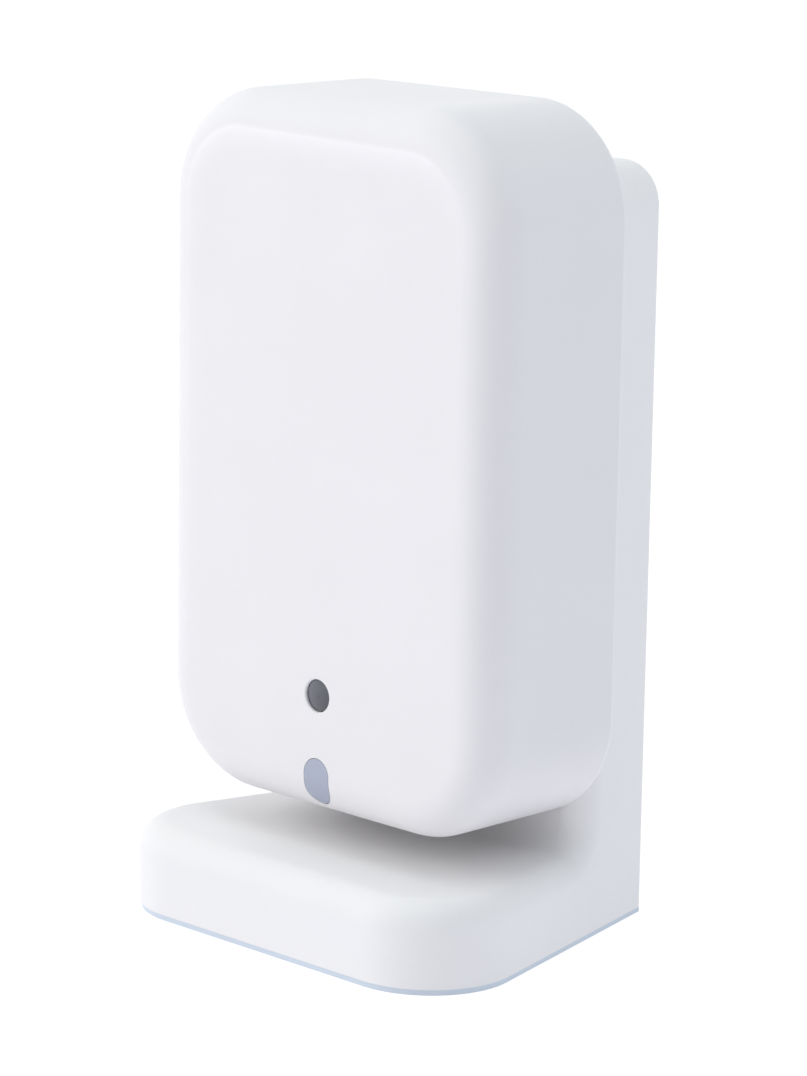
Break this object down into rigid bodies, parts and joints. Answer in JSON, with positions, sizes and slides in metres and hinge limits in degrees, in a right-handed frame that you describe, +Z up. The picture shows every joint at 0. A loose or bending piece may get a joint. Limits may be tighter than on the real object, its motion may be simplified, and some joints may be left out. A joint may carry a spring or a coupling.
{
  "type": "presence sensor",
  "caption": "Upright rounded sensor head with a soft-edged face, light lens and status window, hung on an L-shaped table stand.",
  "frame": {"origin": "middle of the resting face on the table", "axes": "+Z up along the upright, -Y the way the sensor looks, +X towards the right hand of someone who looks at its back"},
  "size_m": [0.0594, 0.049, 0.1064],
  "materials": {
    "shell_white": "fine moulded texture, satin",
    "stand_white": "smooth satin",
    "button_grey": "satin",
    "lens_smoke": "polished, smoked",
    "window_frost": "frosted, translucent",
    "led_resin": "clear resin",
    "pad_grey": "soft matt silicone",
    "plastic_black": "matt",
    "chip_black": "moulded epoxy",
    "board_green": "solder mask",
    "ferrite_grey": "sintered",
    "capacitor_tan": "ceramic",
    "shield_metal": "drawn, tin plated",
    "screw_steel": "zinc plated"
  },
  "bodies": {
    "stand": {"stand_frame": "stand_white", "back_panel": "stand_white", "panel_screws": "screw_steel", "base_cover": "stand_white", "base_screws": "screw_steel", "foot_pad": "pad_grey"},
    "head": {"front_cover": "shell_white", "rear_cover": "shell_white", "cover_screws": "screw_steel", "lux_lens": "lens_smoke", "light_shroud": "plastic_black", "light_sensor": "chip_black", "status_window": "window_frost", "status_led": "led_resin", "main_board": "board_green", "board_screws": "screw_steel", "radar_board": "board_green", "radar_chip": "chip_black", "board_headers": "plastic_black", "radio_module": "board_green", "radio_shield": "shield_metal", "usb_socket": "shield_metal", "usb_tongue": "plastic_black", "power_inductor": "ferrite_grey", "regulator": "chip_black", "capacitors": "capacitor_tan", "reset_switch": "plastic_black"},
    "button": {"reset_button": "button_grey", "switch_plunger": "plastic_black"}
  },
  "joints": [
    {"name": "head_lift", "type": "slide", "parent": "stand", "child": "head", "axis": [0, 0, 1], "range_m": [0, 0.0045]},
    {"name": "reset_press", "type": "slide", "parent": "head", "child": "button", "axis": [0, -1, 0], "range_m": [0, 0.0004], "stiffness_N_per_m": 400}
  ]
}
